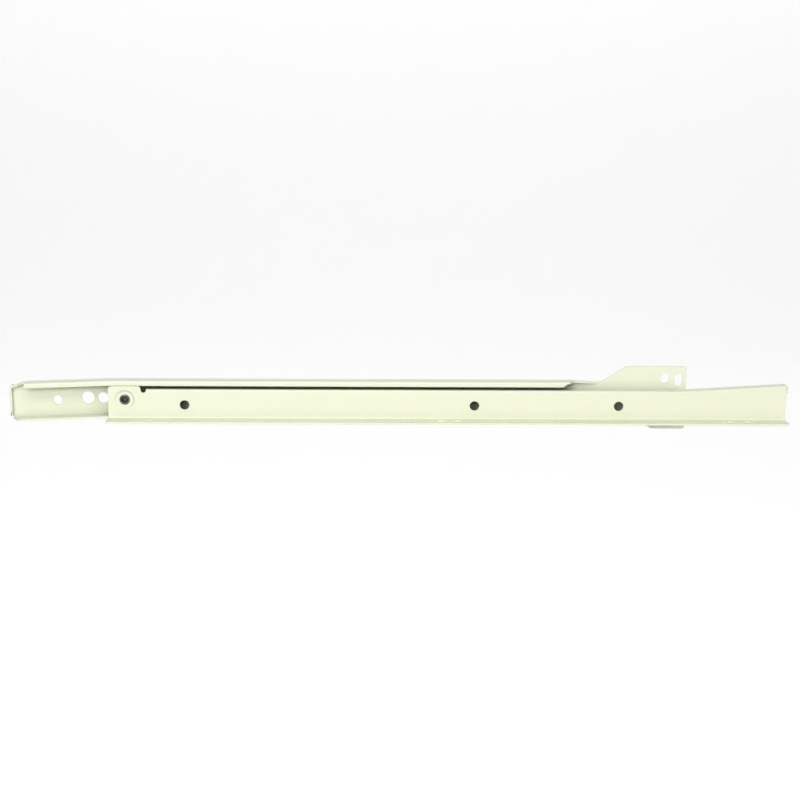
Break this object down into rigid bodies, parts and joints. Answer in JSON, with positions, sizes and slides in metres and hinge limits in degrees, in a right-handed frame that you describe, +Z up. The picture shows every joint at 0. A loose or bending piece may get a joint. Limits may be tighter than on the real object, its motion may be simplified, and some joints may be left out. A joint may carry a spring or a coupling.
{
  "type": "drawer slide",
  "caption": "Bottom-mount roller drawer slide: folded cream-coated steel cabinet and drawer profiles, self-closing rear slope, nylon rollers on rivets, shown partly pulled out.",
  "frame": {"origin": "middle of the screw hole in the cabinet profile's front plate, on the face that lies on the cabinet wall", "axes": "+X out of the cabinet along the slide, +Y into the cabinet wall, +Z up"},
  "size_m": [0.5176, 0.0257, 0.0424],
  "materials": {
    "cream_coat": "smooth semi-gloss powder coat, cream",
    "roller_nylon": "moulded nylon, natural white",
    "rivet_steel": "bright zinc-plated, turned and riveted over"
  },
  "bodies": {
    "cabinet_member": {"cabinet_profile": "cream_coat", "front_roller_rivet": "rivet_steel"},
    "drawer_member": {"drawer_profile": "cream_coat", "rear_roller_rivet": "rivet_steel"},
    "front_roller_wheel": {"front_roller": "roller_nylon"},
    "rear_roller_wheel": {"rear_roller": "roller_nylon"}
  },
  "joints": [
    {"name": "drawer_slide", "type": "slide", "parent": "cabinet_member", "child": "drawer_member", "axis": [1, 0, 0], "range_m": [-0.065, 0.2855]},
    {"name": "rear_roller_spin", "type": "hinge", "parent": "drawer_member", "child": "rear_roller_wheel", "pos_m": [-0.3598, -0.0061, -0.0136], "axis": [0, 1, 0], "continuous": true},
    {"name": "front_roller_spin", "type": "hinge", "parent": "cabinet_member", "child": "front_roller_wheel", "pos_m": [0.0023, -0.0063, -0.0171], "axis": [0, 1, 0], "continuous": true}
  ],
  "couplings": [
    {"joint": "rear_roller_spin", "follows": "drawer_slide", "rad_per_m": 113.64},
    {"joint": "front_roller_spin", "follows": "drawer_slide", "rad_per_m": 113.64}
  ]
}
